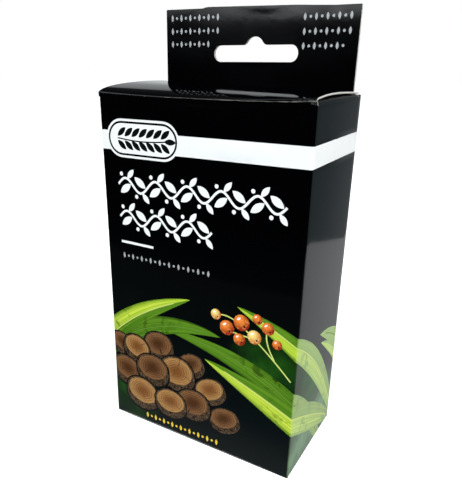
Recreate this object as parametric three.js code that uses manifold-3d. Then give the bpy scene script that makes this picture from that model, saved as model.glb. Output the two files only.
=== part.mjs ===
// A hang-tab carton: a folded and glued paperboard box that stands on its sealed bottom or hangs
// from a round-topped slot in its tab. Millimetres, +Z up, the front panel towards -Y and the
// origin at the middle of the footprint.
import * as THREE from "three";
import { mergeVertices } from "three/addons/utils/BufferGeometryUtils.js";
import Module from "manifold-3d";

const wasm = await Module();
wasm.setup();

// Driving dimensions.
const BOARD = 0.5; // thickness of the paperboard
const WIDTH = 75; // outside, left to right
const DEPTH = 41; // outside, front to back
const HEIGHT = 124; // outside, floor to top crease, without the tab
const CREASE = 1; // outside radius of a folded upright corner
const CREASE_STEPS = 6;
const CURVE_STEPS = 10; // along each rounded corner of an outline
const GAP = 0.25; // running clearance between a flap and the wall beside it
const OUTER_PLY_SHORT = 1.5; // from the outer back ply's free edge to the right side

// Hang tab: the two back plies carried on above the box, with the slot through both.
const TAB = {
  height: 27,
  left: -37.25,
  right: 35,
  corner: 0.3,
  plyStep: 0.4, // how much further up the outer ply reaches
};
const SLOT = {
  width: 31.9,
  height: 5.5,
  shift: 0.3, // from the tab's middle to the right
  end: 2.6, // corner radius at both ends
  aboveBox: 9.5, // from the top crease to the slot's lower edge
  hump: 3.4, // radius of the round top that the hook slips under
  humpRise: 4.8, // from the slot's lower edge to the hump's centre
  fillet: 2,
};

// Lid: a board that bows up between the front crease and the tuck crease.
const LID = {
  inset: 0.6, // each end, in from the side panels
  front: [0.25, 0.3], // centre line, back from the front face and up from the top crease
  crown: [13, 3.5], // control point that sets the bow
  back: [38.9, 0.15],
  steps: 20,
};
// Tuck flap: curved about the lid's crease, so that it slides out past the back panel.
const TUCK = {
  length: 14,
  inset: 2.5,
  radius: 39.4, // from the lid's crease to the tuck crease
  crease: -0.15, // height of the tuck crease over the top crease
  spring: 0.3, // share of the lid's turn by which the flap straightens
  ease: 1.1, // extra lean, so that the tip never rubs the back panel
  corner: 5,
  steps: 10,
};
// Top dust flaps: folded in under the lid from the side panels.
const DUST = {
  length: 26,
  crease: -0.25, // height of the dust creases over the top crease
  start: 1.5, // from the front face to the flap's root
  back: 38, // from the front face to its rear edge
  backAtEnd: 32,
  squareTo: 9, // how far in the rear edge stays straight
  slope: 1.6, // length gained for each step back from the root
};
// Sealed bottom: dust flaps inside, then the inner flap, then the outer flap on the floor.
const BOTTOM = {
  dustLength: 30,
  dustChamfer: 6,
  outerShort: 0.75, // from the outer flap's free edge to the inner back panel
  innerShort: 3.5, // from the inner flap's free edge to the front panel
};

const half = WIDTH / 2;
const front = -DEPTH / 2;
const back = DEPTH / 2;
const innerFace = back - BOARD; // where the two back plies meet

const coated = { color: 0x0d0f12, roughness: 0.22, metalness: 0 };
const bare = { color: 0xb9b2a4, roughness: 0.85, metalness: 0 };
const raw = { color: 0xa8a092, roughness: 0.9, metalness: 0 };

const carton = new THREE.Group();

// Which way a flat outline faces once it is extruded.
const ALONG_X = new THREE.Matrix4().makeBasis(
  new THREE.Vector3(0, 1, 0),
  new THREE.Vector3(0, 0, 1),
  new THREE.Vector3(1, 0, 0),
);
const ALONG_MINUS_Y = new THREE.Matrix4().makeBasis(
  new THREE.Vector3(1, 0, 0),
  new THREE.Vector3(0, 0, 1),
  new THREE.Vector3(0, -1, 0),
);

function addPanel(name, geometry, finish) {
  const mesh = new THREE.Mesh(geometry, new THREE.MeshStandardMaterial(finish));
  mesh.name = name;
  carton.add(mesh);
}

function extrude(outline, depth) {
  const shape = outline instanceof THREE.Shape ? outline : new THREE.Shape(outline);
  return new THREE.ExtrudeGeometry(shape, { depth, bevelEnabled: false, curveSegments: CURVE_STEPS });
}

// A board lying flat, from an outline in X and Y, with its lower face at z.
function flatBoard(outline, z) {
  return extrude(outline, BOARD).translate(0, 0, z);
}

// A board standing across the carton, from an outline in X and Z, with its front face at y.
function uprightBoard(outline, y) {
  return extrude(outline, BOARD).applyMatrix4(ALONG_MINUS_Y).translate(0, y + BOARD, 0);
}

// A band of even thickness along a centre line in Y and Z, between x = -reach and x = reach.
function bentBoard(centreLine, reach) {
  const upper = [];
  const lower = [];
  centreLine.forEach((point, i) => {
    const before = centreLine[Math.max(i - 1, 0)];
    const after = centreLine[Math.min(i + 1, centreLine.length - 1)];
    const along = after.clone().sub(before).normalize();
    const across = new THREE.Vector2(-along.y, along.x).multiplyScalar(BOARD / 2);
    upper.push(point.clone().add(across));
    lower.unshift(point.clone().sub(across));
  });
  return extrude([...upper, ...lower], 2 * reach)
    .applyMatrix4(ALONG_X)
    .translate(-reach, 0, 0);
}

function arc(x, y, radius, from, to) {
  const curve = new THREE.EllipseCurve(x, y, radius, radius, from, to, to < from);
  return curve.getPoints(CREASE_STEPS);
}

function rectangle(x0, y0, x1, y1) {
  return [
    new THREE.Vector2(x0, y0),
    new THREE.Vector2(x1, y0),
    new THREE.Vector2(x1, y1),
    new THREE.Vector2(x0, y1),
  ];
}

function solidOf(geometry) {
  const positions = geometry.clone();
  positions.deleteAttribute("normal");
  positions.deleteAttribute("uv");
  const merged = mergeVertices(positions);
  return new wasm.Manifold(
    new wasm.Mesh({
      numProp: 3,
      vertProperties: merged.attributes.position.array,
      triVerts: new Uint32Array(merged.index.array),
    }),
  );
}

function geometryOf(solid) {
  const mesh = solid.getMesh();
  const geometry = new THREE.BufferGeometry();
  geometry.setAttribute("position", new THREE.BufferAttribute(mesh.vertProperties, 3));
  geometry.setIndex(new THREE.BufferAttribute(mesh.triVerts, 1));
  return geometry;
}

// Side panel with both its upright creases; rear is where the back crease's outer face ends.
function sidePanel(side, rear) {
  const cornerX = half - CREASE;
  const frontY = front + CREASE;
  const rearY = rear - CREASE;
  const inside = CREASE - BOARD;
  const outline = [
    ...arc(cornerX, frontY, CREASE, -Math.PI / 2, 0),
    ...arc(cornerX, rearY, CREASE, 0, Math.PI / 2),
    ...arc(cornerX, rearY, inside, Math.PI / 2, 0),
    ...arc(cornerX, frontY, inside, 0, -Math.PI / 2),
  ];
  return extrude(outline.map((p) => new THREE.Vector2(side * p.x, p.y)), HEIGHT);
}

// The slot's outline in X and Z: a long round-ended slot with a round hump on its upper edge.
function hangSlot() {
  const x = (TAB.left + TAB.right) / 2 + SLOT.shift;
  const low = HEIGHT + SLOT.aboveBox;
  const high = low + SLOT.height;
  const reach = SLOT.width / 2;
  const humpZ = low + SLOT.humpRise;
  const filletZ = high + SLOT.fillet;
  const filletX = Math.sqrt((SLOT.hump + SLOT.fillet) ** 2 - (filletZ - humpZ) ** 2);
  const turn = Math.atan2(filletZ - humpZ, filletX);
  const slot = new THREE.Path();
  slot.moveTo(x - reach + SLOT.end, low);
  slot.lineTo(x + reach - SLOT.end, low);
  slot.absarc(x + reach - SLOT.end, low + SLOT.end, SLOT.end, -Math.PI / 2, 0);
  slot.absarc(x + reach - SLOT.end, high - SLOT.end, SLOT.end, 0, Math.PI / 2);
  slot.absarc(x + filletX, filletZ, SLOT.fillet, -Math.PI / 2, Math.PI + turn, true);
  slot.absarc(x, humpZ, SLOT.hump, turn, Math.PI - turn);
  slot.absarc(x - filletX, filletZ, SLOT.fillet, -turn, -Math.PI / 2, true);
  slot.absarc(x - reach + SLOT.end, high - SLOT.end, SLOT.end, Math.PI / 2, Math.PI);
  slot.absarc(x - reach + SLOT.end, low + SLOT.end, SLOT.end, Math.PI, 1.5 * Math.PI);
  return slot;
}

// A back ply, from the floor to the top of the tab.
function backPly(left, right, top) {
  const shape = new THREE.Shape();
  shape.moveTo(left, 0);
  shape.lineTo(right, 0);
  shape.lineTo(right, HEIGHT);
  shape.lineTo(TAB.right, HEIGHT);
  shape.absarc(TAB.right - TAB.corner, top - TAB.corner, TAB.corner, 0, Math.PI / 2);
  shape.absarc(TAB.left + TAB.corner, top - TAB.corner, TAB.corner, Math.PI / 2, Math.PI);
  shape.lineTo(TAB.left, HEIGHT);
  shape.lineTo(left, HEIGHT);
  shape.holes.push(hangSlot());
  return shape;
}

function lidCentreLine() {
  const points = [LID.front, LID.crown, LID.back].map(
    ([y, z]) => new THREE.Vector2(front + y, HEIGHT + z),
  );
  return new THREE.QuadraticBezierCurve(...points).getPoints(LID.steps);
}

// The flap leans in by the lid's own circle (the half) and by the room it needs to straighten.
function tuckCentreLine() {
  const { spring, ease, radius } = TUCK;
  const lean = (ease * (0.5 + spring + spring ** 2 / 2)) / radius;
  const points = [];
  for (let i = 0; i <= TUCK.steps; i += 1) {
    const s = (TUCK.length * i) / TUCK.steps;
    points.push(
      new THREE.Vector2(front + radius - lean * s * s, HEIGHT + TUCK.crease - s),
    );
  }
  return points;
}

function tuckFlap() {
  const reach = half - TUCK.inset;
  const top = HEIGHT + BOARD;
  const tip = HEIGHT + TUCK.crease - TUCK.length;
  const outline = new THREE.Shape();
  outline.moveTo(-reach, top);
  outline.absarc(-reach + TUCK.corner, tip + TUCK.corner, TUCK.corner, Math.PI, 1.5 * Math.PI);
  outline.absarc(reach - TUCK.corner, tip + TUCK.corner, TUCK.corner, 1.5 * Math.PI, 2 * Math.PI);
  outline.lineTo(reach, top);
  const cutter = extrude(outline, DEPTH).applyMatrix4(ALONG_MINUS_Y).translate(0, back, 0);
  return geometryOf(solidOf(bentBoard(tuckCentreLine(), reach)).intersect(solidOf(cutter)));
}

// Top dust flap. It grows from its root no faster than the lid rises clear of it.
function topDustFlap(side) {
  const root = half - BOARD - GAP;
  const hinge = half;
  const frontAtEnd = DUST.start + (DUST.length - (hinge - root)) / DUST.slope;
  const outline = [
    [root, DUST.start],
    [hinge - DUST.length, frontAtEnd],
    [hinge - DUST.length, DUST.backAtEnd],
    [hinge - DUST.squareTo, DUST.back],
    [root, DUST.back],
  ];
  const points = outline.map(([x, y]) => new THREE.Vector2(side * x, front + y));
  return flatBoard(points, HEIGHT + DUST.crease - BOARD);
}

function bottomDustFlap(side) {
  const root = half - BOARD - GAP;
  const end = half - BOTTOM.dustLength;
  const y0 = front + BOARD + 2 * GAP;
  const y1 = innerFace - BOARD - 2 * GAP;
  const outline = [
    [root, y0],
    [end + BOTTOM.dustChamfer, y0],
    [end, y0 + BOTTOM.dustChamfer],
    [end, y1 - BOTTOM.dustChamfer],
    [end + BOTTOM.dustChamfer, y1],
    [root, y1],
  ];
  const points = outline.map(([x, y]) => new THREE.Vector2(side * x, y));
  return flatBoard(points, 2 * BOARD);
}

// The sleeve: four walls folded from one board, with a second back ply glued outside the first.
const plyInset = half - CREASE;
const outerFreeEdge = half - OUTER_PLY_SHORT;
addPanel(
  "front_panel",
  extrude(rectangle(-plyInset, front, plyInset, front + BOARD), HEIGHT),
  coated,
);
addPanel("left_side_panel", sidePanel(-1, back), coated);
addPanel("right_side_panel", sidePanel(1, innerFace), coated);
addPanel(
  "inner_back_panel",
  uprightBoard(backPly(-plyInset + GAP, plyInset, HEIGHT + TAB.height), innerFace - BOARD),
  coated,
);
addPanel(
  "outer_back_panel",
  uprightBoard(backPly(-plyInset, outerFreeEdge, HEIGHT + TAB.height + TAB.plyStep), innerFace),
  coated,
);

// The top closure.
addPanel("lid_panel", bentBoard(lidCentreLine(), half - LID.inset), coated);
addPanel("tuck_flap", tuckFlap(), coated);
addPanel("left_top_dust_flap", topDustFlap(-1), bare);
addPanel("right_top_dust_flap", topDustFlap(1), bare);

// The sealed bottom.
const floorReach = half - BOARD - GAP;
const backWall = innerFace - BOARD;
addPanel(
  "bottom_outer_flap",
  flatBoard(
    rectangle(-floorReach, front + BOARD + GAP, floorReach, backWall - BOTTOM.outerShort),
    0,
  ),
  coated,
);
addPanel(
  "bottom_inner_flap",
  flatBoard(
    rectangle(-floorReach, front + BOARD + BOTTOM.innerShort, floorReach, backWall - GAP),
    BOARD,
  ),
  raw,
);
addPanel("left_bottom_dust_flap", bottomDustFlap(-1), raw);
addPanel("right_bottom_dust_flap", bottomDustFlap(1), raw);

export default carton;
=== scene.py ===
import math
import bpy
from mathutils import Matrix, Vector, geometry


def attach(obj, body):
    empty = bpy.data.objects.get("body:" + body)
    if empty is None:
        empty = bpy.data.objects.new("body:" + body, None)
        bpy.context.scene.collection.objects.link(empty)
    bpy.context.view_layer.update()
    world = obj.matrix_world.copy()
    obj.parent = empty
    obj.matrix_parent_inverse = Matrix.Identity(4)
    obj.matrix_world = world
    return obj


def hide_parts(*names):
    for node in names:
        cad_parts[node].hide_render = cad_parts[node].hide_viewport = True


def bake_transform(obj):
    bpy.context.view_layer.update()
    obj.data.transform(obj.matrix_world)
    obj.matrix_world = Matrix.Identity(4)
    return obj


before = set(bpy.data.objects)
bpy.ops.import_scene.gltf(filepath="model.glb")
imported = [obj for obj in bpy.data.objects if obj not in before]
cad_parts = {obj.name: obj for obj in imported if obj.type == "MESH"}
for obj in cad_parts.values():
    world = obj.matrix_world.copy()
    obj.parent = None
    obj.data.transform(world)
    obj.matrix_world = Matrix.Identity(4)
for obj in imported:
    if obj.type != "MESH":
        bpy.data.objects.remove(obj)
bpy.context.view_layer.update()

mm = 0.001  # lengths in this script are millimetres until a mesh is made

carton = {
    "board": 0.5,
    "halfWidth": 37.5,
    "front": -20.5,
    "back": 20.5,
    "height": 124.0,
    "corner": 0.75,  # outside radius of a folded upright corner
    "topFold": 1.2,  # how far below the top crease the lid begins to turn
    "footFold": 0.6,  # how far above the floor a bottom flap begins to turn
    "turnReach": 1.1,  # how far in from the wall a folded flap lies flat
    "turnPull": 0.1,  # how near to the corner the bend is drawn
    "gap": 0.25,  # between a flap and the wall beside it
    "sideNotch": 0.5,  # from the front to where a side's top edge drops for its flap
    "sideStand": 37.5,  # from the front to where it stands full height again
    "grid": 2.5,  # spacing of the points that let a panel bend
    "swell": 0.05,  # how far a cut edge bulges at half its thickness
    "foldSteps": 6,
    "shoulder": 0.6,  # rounding of the rear top corners
    "toe": 0.2,  # rounding of the bottom corners
    "pinch": 0.45,  # how far the front's right edge stands in from square
    "splay": 0.78,  # how far the front's foot stands forward at the right
    "slack": 0.3,  # how far the front's left edge bows in
}
board = carton["board"]
half = carton["halfWidth"]
front = carton["front"]
back = carton["back"]
height = carton["height"]
corner = carton["corner"]
innerFace = back - board
gap = carton["gap"]
grid = carton["grid"]
straight = half - corner  # where an upright corner's arc begins
quarter = corner * math.pi / 4


def newMaterial(name):
    material = bpy.data.materials.new(name)
    material.use_nodes = True
    tree = material.node_tree
    tree.nodes.clear()
    return material, Shader(tree)


class Shader:
    def __init__(self, tree):
        self.tree = tree

    def add(self, kind, inputs=None, **settings):
        node = self.tree.nodes.new(kind)
        for key, value in settings.items():
            setattr(node, key, value)
        for key, value in (inputs or {}).items():
            self.feed(node.inputs[key], value)
        return node

    def feed(self, socket, value):
        if isinstance(value, Wire):
            value = value.socket
        if isinstance(value, bpy.types.NodeSocket):
            self.tree.links.new(value, socket)
        else:
            socket.default_value = value

    def wire(self, node, output=0):
        return Wire(self, node.outputs[output])

    def math(self, operation, *values):
        return self.wire(self.add("ShaderNodeMath", dict(enumerate(values)), operation=operation))

    def place(self):
        return self.wire(self.add("ShaderNodeTexCoord"), "Object")

    def axes(self, vector):
        node = self.add("ShaderNodeSeparateXYZ", {0: vector})
        return [self.wire(node, i) for i in range(3)]

    def noise(self, vector, scale, detail, rough, warp=0.0):
        return self.wire(self.add("ShaderNodeTexNoise", {
            "Vector": vector, "Scale": scale, "Detail": detail, "Roughness": rough,
            "Distortion": warp}))

    def stretch(self, vector, scale):
        return self.wire(self.add("ShaderNodeMapping", {"Vector": vector, "Scale": scale}))

    def ramp(self, value, low, high, start=0.0, end=1.0):
        return self.wire(self.add("ShaderNodeMapRange",
                                  {0: value, 1: low, 2: high, 3: start, 4: end},
                                  interpolation_type="SMOOTHSTEP"))

    def mix(self, share, first, second):
        node = self.add("ShaderNodeMix", data_type="RGBA")
        for key, value in ((0, share), (6, paint(first)), (7, paint(second))):
            self.feed(node.inputs[key], value)
        return self.wire(node, 2)

    def close(self, surface, kind="ShaderNodeOutputMaterial"):
        self.feed(self.add(kind).inputs["Surface"], self.wire(surface))

    def finish(self, material, color, rough, bump, strength, depth, **constants):
        node = self.add("ShaderNodeBsdfPrincipled",
                        {"Base Color": paint(color), "Roughness": rough})
        for key, value in constants.items():
            node.inputs[key.replace("_", " ")].default_value = value
        raised = self.add("ShaderNodeBump",
                          {"Height": bump, "Strength": strength, "Distance": depth})
        self.feed(node.inputs["Normal"], self.wire(raised))
        self.close(node)
        return material


class Wire:
    def __init__(self, shader, socket):
        self.shader = shader
        self.socket = socket

    def __add__(self, other):
        return self.shader.math("ADD", self, other)

    def __radd__(self, other):
        return self.shader.math("ADD", self, other)

    def __sub__(self, other):
        return self.shader.math("SUBTRACT", self, other)

    def __rsub__(self, other):
        return self.shader.math("SUBTRACT", other, self)

    def __mul__(self, other):
        return self.shader.math("MULTIPLY", self, other)

    def __rmul__(self, other):
        return self.shader.math("MULTIPLY", self, other)

    def __abs__(self):
        return self.shader.math("ABSOLUTE", self)

    def over(self, other):
        return self.shader.math("MAXIMUM", self, other)


def paint(value):
    if isinstance(value, tuple) and len(value) == 3:
        return (*value, 1.0)
    return value


gloss = {
    "black": (0.0003, 0.0004, 0.0006),
    "teal": (0.0016, 0.0038, 0.0042),
    "rough": 0.065,
    "ior": 1.3,
    "peel": 0.12,  # strength of the fine waves in the varnish
    "peelDepth": 0.00004,
    # colour of the crease crack and the scuffed corner: bare board fibre, and also a painted
    # highlight on the fold
    "fibre": (0.2, 0.19, 0.175),
}
glows = {
    "tone": (0.02, 0.12, 0.008),
    "mist": (0.2, 0.34, 0.19),
    "pale": (0.5, 0.66, 0.24),  # what lightens the blades on the right side
    "rightSide": (0.0365, 0.0372),  # where the front's print gives way to the side's
    "spots": [  # centre in mm, radius in mm, strength
        ((27, -20, 40), 16, 0.75),
        ((-30, -20, 12), 17, 0.55),
        ((37, -6, 30), 15, 0.9),
        ((37, 12, 14), 14, 0.8),
        ((-37, 2, 24), 17, 0.7),
        ((0, 20, 20), 20, 0.5),
    ],
}

# the crack in the print along the lid's crease, worn print that also stands in for the fold's
# highlight as a painted highlight; four numbers are from, to, and two amounts
crackAndHighlight = {
    "level": 0.12335,  # height of the crack at its lowest
    "lowest": 0.004,  # where along the carton it is lowest
    "rise": 0.36,
    "wander": 0.0003,
    "thick": 0.00013,
    "rightLift": (0.027, 0.034, 0.0, 0.00026),
    "leftDrop": (-0.034, -0.018, 0.0002, 0.0),
    "thickening": (0.026, 0.033, 1.0, 4.8),
    "backEnd": (-0.0203, -0.0201, 1.0, 0.0),
    "fading": ((-0.02, -0.008, 0.3, 0.76), (0.002, 0.006, 1.0, 1.3)),
    "rightFade": (0.027, 0.031, 1.0, 0.84),
    "corner": ((0.03676, 0.03686, 0.0, 1.0), (-0.02002, -0.0199, 1.0, 0.0),
               (0.1226, 0.1233, 0.0, 1.1)),  # the scuffed corner, worn and also a painted highlight at the top of the upright corner, along each axis
}


# Worn print along the lid's crease and at the scuffed corner, painted lighter: bare fibre, and also
# a painted highlight where the fold and the upright corner catch the light.
def creaseWearAndHighlight(s, at):
    x, y, z = s.axes(at)
    speck = s.noise(at, 2100.0, 3.0, 0.6)
    patch = s.noise(at, 330.0, 2.0, 0.6)
    wander = s.noise(at, 260.0, 2.0, 0.5) - 0.5
    away = x - crackAndHighlight["lowest"]
    level = crackAndHighlight["level"] + crackAndHighlight["rise"] * (away * away) + wander * crackAndHighlight["wander"]
    level = level + s.ramp(x, *crackAndHighlight["rightLift"]) - s.ramp(x, *crackAndHighlight["leftDrop"])
    thick = crackAndHighlight["thick"] * s.ramp(x, *crackAndHighlight["thickening"])
    crack = s.ramp(abs(z - level), crackAndHighlight["thick"] * 0.3, thick, 1.0, 0.0)
    crack = crack * s.ramp(y, *crackAndHighlight["backEnd"]) * s.ramp(x, *crackAndHighlight["rightFade"])
    for fading in crackAndHighlight["fading"]:
        crack = crack * s.ramp(x, *fading)
    alongX, alongY, alongZ = crackAndHighlight["corner"]
    # a scuff that is also a painted highlight at the top of the front's right upright corner
    scuffAndHighlight = s.ramp(x, *alongX) * s.ramp(y, *alongY) * s.ramp(z, *alongZ)
    wornAndLit = crack.over(scuffAndHighlight) * (speck * 0.65 + patch * 1.05)
    return s.ramp(wornAndLit, 0.5, 0.95)


def glowShare(s, at):
    blotch = s.noise(at, 90.0, 3.0, 0.55)
    share = None
    for centre, radius, strength in glows["spots"]:
        away = s.wire(s.add("ShaderNodeVectorMath",
                            {0: at, 1: tuple(c * mm for c in centre)}, operation="DISTANCE"),
                      "Value")
        spot = s.ramp(away, radius * 0.15 * mm, radius * mm, strength, 0.0)
        share = spot if share is None else share.over(spot)
    return share * s.ramp(blotch, 0.3, 0.7, 0.25, 1.0)


def pressPrint(s, material, at, color, wornAndLit=True, lift=1.0):
    cloud = s.noise(at, 28.0, 3.0, 0.55)
    rough = s.ramp(cloud, 0.3, 0.7, gloss["rough"] * 0.75, gloss["rough"] * 1.35)
    if wornAndLit:
        # the crease's worn print and its painted highlight
        share = creaseWearAndHighlight(s, at)
        color = s.mix(share, color, gloss["fibre"])
        rough = rough + share * 0.6
    peel = s.noise(at, 420.0, 2.0, 0.6) * 0.75 + s.noise(at, 900.0, 2.0, 0.5) * 0.25
    return s.finish(material, color, rough, peel, gloss["peel"] * lift, gloss["peelDepth"],
                    IOR=gloss["ior"])


def blackPrint(name):
    material, s = newMaterial(name)
    at = s.place()
    x, _, z = s.axes(at)
    low = s.ramp(z, 0.012, 0.09, 1.0, 0.0)
    color = s.mix(low * s.noise(at, 28.0, 3.0, 0.55) * 1.8, gloss["black"], gloss["teal"])
    color = s.mix(glowShare(s, at), color, glows["tone"])
    mist = s.ramp(z, 0.004, 0.034, 1.0, 0.0) * s.ramp(x, *glows["rightSide"])
    patches = s.ramp(s.noise(at, 60.0, 3.0, 0.5), 0.3, 0.7, 0.3, 0.9)
    color = s.mix(mist * patches, color, glows["mist"])
    return pressPrint(s, material, at, color)


def plainInk(name, tone):
    material, s = newMaterial(name)
    at = s.place()
    color = s.mix(s.noise(at, 300.0, 2.0, 0.5), tone, tuple(c * 0.93 for c in tone))
    return pressPrint(s, material, at, color, lift=0.8)


def motif(s):
    node = s.add("ShaderNodeAttribute", attribute_name="motif")
    return s.wire(node, "Vector")


def bladeInk(name, tones):
    material, s = newMaterial(name)
    at = s.place()
    spot = motif(s)
    along, across, _ = s.axes(spot)
    veins = s.noise(s.stretch(spot, (2.2, 15.0, 7.0)), 1.0, 3.0, 0.6, 0.3)
    blotch = s.noise(at, 170.0, 4.0, 0.62, 0.6)
    color = s.mix(s.ramp(along, 0.0, 0.85), tones["root"], tones["tip"])
    color = s.mix(s.ramp(veins, 0.42, 0.66), color, tones["vein"])
    color = s.mix(s.ramp(blotch, 0.52, 0.64) * s.ramp(along, 0.95, 0.4), color, tones["shade"])
    color = s.mix(s.ramp(abs(across), 0.62, 1.0) * 0.7, color, tones["rim"])
    color = s.mix(s.ramp(s.axes(at)[0], *glows["rightSide"]) * 0.5, color, glows["pale"])
    return pressPrint(s, material, at, color)


def sliceInk(name, tones):
    material, s = newMaterial(name)
    at = s.place()
    spot = motif(s)
    x, y, seed = s.axes(spot)
    wobble = s.noise(spot, 2.2, 3.0, 0.55)
    reach = s.math("SQRT", x * x + y * y) + (wobble - 0.5) * 0.22
    rings = s.ramp(s.math("SINE", reach * 46.0), -0.2, 0.9)
    angle = s.math("ARCTAN2", y, x)
    polar = s.wire(s.add("ShaderNodeCombineXYZ", {0: angle, 1: reach * 0.35, 2: seed}))
    rays = s.noise(s.stretch(polar, (5.5, 2.0, 1.0)), 1.0, 3.0, 0.6)
    grain = s.noise(at, 1500.0, 3.0, 0.6)
    color = s.mix(s.ramp(reach, 0.1, 0.95), tones["heart"], tones["sap"])
    color = s.mix(rings * 0.55, color, tones["ring"])
    color = s.mix(s.ramp(rays, 0.62, 0.72), color, tones["crack"])
    color = s.mix(s.ramp(grain, 0.5, 0.8) * 0.35, color, tones["crack"])
    return pressPrint(s, material, at, color, wornAndLit=False)


def barkInk(name, tones):
    material, s = newMaterial(name)
    at = s.place()
    lumps = s.noise(at, 900.0, 4.0, 0.65, 1.2)
    plates = s.wire(s.add("ShaderNodeTexVoronoi", {"Vector": at, "Scale": 1100.0},
                          feature="DISTANCE_TO_EDGE"), "Distance")
    color = s.mix(s.ramp(lumps, 0.35, 0.65), tones["dark"], tones["light"])
    color = s.mix(s.ramp(plates, 0.0, 0.12, 1.0, 0.0), color, tones["gap"])
    return pressPrint(s, material, at, color, wornAndLit=False)


def berryInk(name, tones):
    material, s = newMaterial(name)
    at = s.place()
    x, y, _ = s.axes(motif(s))
    lit = s.math("SQRT", (x + 0.3) * (x + 0.3) + (y - 0.35) * (y - 0.35))
    color = s.mix(s.ramp(lit, 0.1, 1.35), tones["lit"], tones["dark"])
    color = s.mix(s.ramp(s.noise(at, 1200.0, 2.0, 0.5), 0.45, 0.7) * 0.4, color, tones["fleck"])
    return pressPrint(s, material, at, color, wornAndLit=False)


def uncoatedBoard(name):
    material, s = newMaterial(name)
    at = s.place()
    fibre = s.noise(s.stretch(at, (700, 700, 2400)), 1.0, 4.0, 0.65, 0.4)
    mottle = s.noise(at, 140.0, 3.0, 0.6)
    color = s.mix(fibre, (0.60, 0.575, 0.53), (0.78, 0.765, 0.725))
    color = s.mix(s.ramp(mottle, 0.55, 0.75) * 0.2, color, (0.5, 0.465, 0.41))
    return s.finish(material, color, 0.82, fibre, 0.35, 0.00006, Specular_IOR_Level=0.3)


def cutEdge(name):
    material, s = newMaterial(name)
    at = s.place()
    fibre = s.noise(at, 3800.0, 3.0, 0.7)
    patch = s.noise(at, 420.0, 2.0, 0.6)
    color = s.mix(fibre, (0.32, 0.31, 0.285), (0.6, 0.59, 0.565))
    color = s.mix(s.ramp(patch, 0.58, 0.75) * 0.5, color, (0.3, 0.28, 0.25))
    return s.finish(material, color, 0.88, fibre, 0.6, 0.00008, Specular_IOR_Level=0.3)


def paperFlake(name):
    material, s = newMaterial(name)
    at = s.place()
    fibre = s.noise(at, 5200.0, 3.0, 0.7)
    color = s.mix(fibre, (0.1, 0.095, 0.085), (0.42, 0.4, 0.36))
    return s.finish(material, color, 0.9, fibre, 0.5, 0.00003, Specular_IOR_Level=0.2)


recipes = [  # name, how it is made, and its colours
    ("blackPrint", blackPrint),
    ("paperFlake", paperFlake),
    ("whiteInk", plainInk, (0.86, 0.87, 0.87)),
    ("greyInk", plainInk, (0.36, 0.37, 0.38)),
    ("blackInk", plainInk, (0.004, 0.0045, 0.005)),
    ("yellowInk", plainInk, (0.72, 0.5, 0.045)),
    ("limeBlade", bladeInk, {
        "root": (0.07, 0.2, 0.008), "tip": (0.34, 0.52, 0.028), "vein": (0.6, 0.7, 0.08),
        "shade": (0.015, 0.075, 0.005), "rim": (0.04, 0.13, 0.008)}),
    ("deepBlade", bladeInk, {
        "root": (0.006, 0.04, 0.003), "tip": (0.07, 0.19, 0.01), "vein": (0.13, 0.27, 0.018),
        "shade": (0.002, 0.014, 0.001), "rim": (0.004, 0.022, 0.002)}),
    ("ribInk", plainInk, (0.55, 0.64, 0.16)),
    ("deepRib", plainInk, (0.12, 0.24, 0.03)),
    ("goldSlice", sliceInk, {
        "heart": (0.2, 0.075, 0.02), "sap": (0.44, 0.24, 0.085), "ring": (0.09, 0.032, 0.01),
        "crack": (0.018, 0.008, 0.003)}),
    ("umberSlice", sliceInk, {
        "heart": (0.07, 0.026, 0.009), "sap": (0.23, 0.11, 0.045), "ring": (0.035, 0.014, 0.006),
        "crack": (0.01, 0.005, 0.002)}),
    ("bark", barkInk, {
        "dark": (0.02, 0.01, 0.005), "light": (0.13, 0.085, 0.05), "gap": (0.003, 0.002, 0.001)}),
    ("berry", berryInk, {
        "lit": (0.85, 0.22, 0.03), "dark": (0.24, 0.01, 0.005), "fleck": (0.9, 0.42, 0.1)}),
    ("goldBerry", berryInk, {
        "lit": (0.92, 0.72, 0.22), "dark": (0.5, 0.13, 0.01), "fleck": (0.95, 0.84, 0.45)}),
    ("uncoatedBoard", uncoatedBoard),
    ("cutEdge", cutEdge),
]
finishes = {name: make(name, *tones) for name, make, *tones in recipes}
print("finishes made:", len(finishes))


def spaced(low, high, step):
    count = max(1, round((high - low) / step))
    return [low + (high - low) * i / count for i in range(count + 1)]


def mirrored(points):
    return [(-u, v) for u, v in reversed(points)]


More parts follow.
